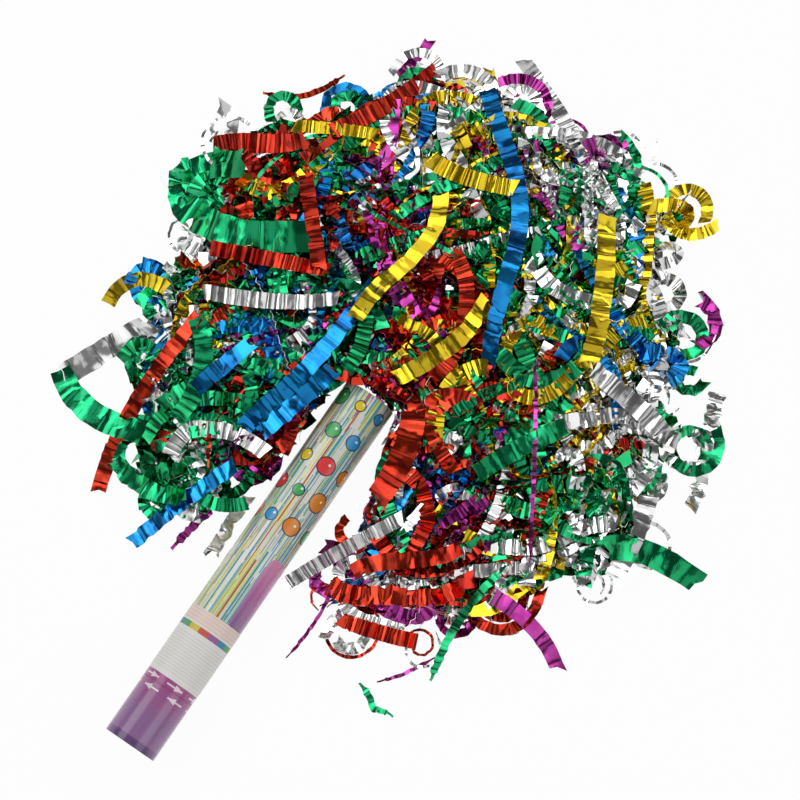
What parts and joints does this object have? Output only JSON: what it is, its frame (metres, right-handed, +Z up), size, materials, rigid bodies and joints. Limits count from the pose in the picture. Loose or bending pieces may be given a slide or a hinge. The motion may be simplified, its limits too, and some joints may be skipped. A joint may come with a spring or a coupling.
{
  "type": "confetti popper",
  "caption": "Twist-to-fire card tube popper lying fired among its crinkled foil streamers, with an air cylinder, release screw, valve and wad inside.",
  "frame": {"origin": "centre of the flat base face of the tube's grip end", "axes": "+X along the tube from the base to the open mouth, +Z up, the table at Z = -0.027 m"},
  "size_m": [0.7514, 0.6324, 0.0707],
  "materials": {
    "kraft_card": "spiral-wound kraft card",
    "barrel_print": "printed gloss film, silvery with thin coloured streaks",
    "grip_print": "printed gloss film, magenta to violet",
    "sticker_paper": "coated sticker paper",
    "seal_paper": "torn foil-faced paper",
    "cap_plastic": "moulded black polypropylene",
    "acetal_plastic": "natural acetal",
    "sleeve_plastic": "moulded grey styrene",
    "spring_steel": "bright spring steel",
    "cylinder_aluminium": "drawn aluminium",
    "collar_aluminium": "crimped aluminium",
    "valve_brass": "turned brass",
    "seal_rubber": "moulded nitrile",
    "wad_board": "grey board",
    "wad_foam": "soft open-cell foam",
    "foil_red": "metallised film, red front and silver back",
    "foil_green": "metallised film, green front and silver back",
    "foil_blue": "metallised film, blue front and silver back",
    "foil_gold": "metallised film, gold front and silver back",
    "foil_silver": "metallised film, silver",
    "foil_magenta": "metallised film, magenta front and silver back"
  },
  "bodies": {
    "barrel": {"barrel_tube": "kraft_card", "barrel_wrap": "barrel_print", "barrel_sticker": "sticker_paper", "mouth_seal_rim": "seal_paper", "joint_sleeve": "sleeve_plastic", "release_nut": "acetal_plastic", "air_cylinder": "cylinder_aluminium", "valve_body": "valve_brass", "neck_o_ring": "seal_rubber", "neck_collar": "collar_aluminium", "rear_cradle": "sleeve_plastic", "front_cradle": "sleeve_plastic", "air_diffuser": "sleeve_plastic"},
    "grip": {"grip_tube": "kraft_card", "grip_wrap": "grip_print", "base_cap": "cap_plastic", "grip_clip": "spring_steel"},
    "release_screw": {"release_screw": "acetal_plastic"},
    "valve": {"valve_stem": "valve_brass", "valve_seal": "seal_rubber"},
    "wad": {"wad_card": "wad_board", "wad_foam": "wad_foam"},
    "streamer_heap": {"streamers_red": "foil_red", "streamers_green": "foil_green", "streamers_blue": "foil_blue", "streamers_gold": "foil_gold", "streamers_silver": "foil_silver", "streamers_magenta": "foil_magenta"}
  },
  "joints": [
    {"name": "grip_twist", "type": "hinge", "parent": "barrel", "child": "grip", "pos_m": [0, 0, 0], "axis": [1, 0, 0], "range_deg": [0, 120]},
    {"name": "screw_advance", "type": "slide", "parent": "grip", "child": "release_screw", "axis": [1, 0, 0], "range_m": [0, 0.00401]},
    {"name": "valve_push", "type": "slide", "parent": "barrel", "child": "valve", "axis": [1, 0, 0], "range_m": [0, 0.00401]},
    {"name": "wad_travel", "type": "slide", "parent": "barrel", "child": "wad", "axis": [1, 0, 0], "range_m": [0, 0.214]},
    {"name": "streamers_throw", "type": "slide", "parent": "barrel", "child": "streamer_heap", "axis": [1, 0, 0], "range_m": [0, 0.3]}
  ],
  "couplings": [
    {"joint": "screw_advance", "follows": "grip_twist", "m_per_rad": 0.0019099},
    {"joint": "valve_push", "follows": "grip_twist", "m_per_rad": 0.0019099}
  ]
}
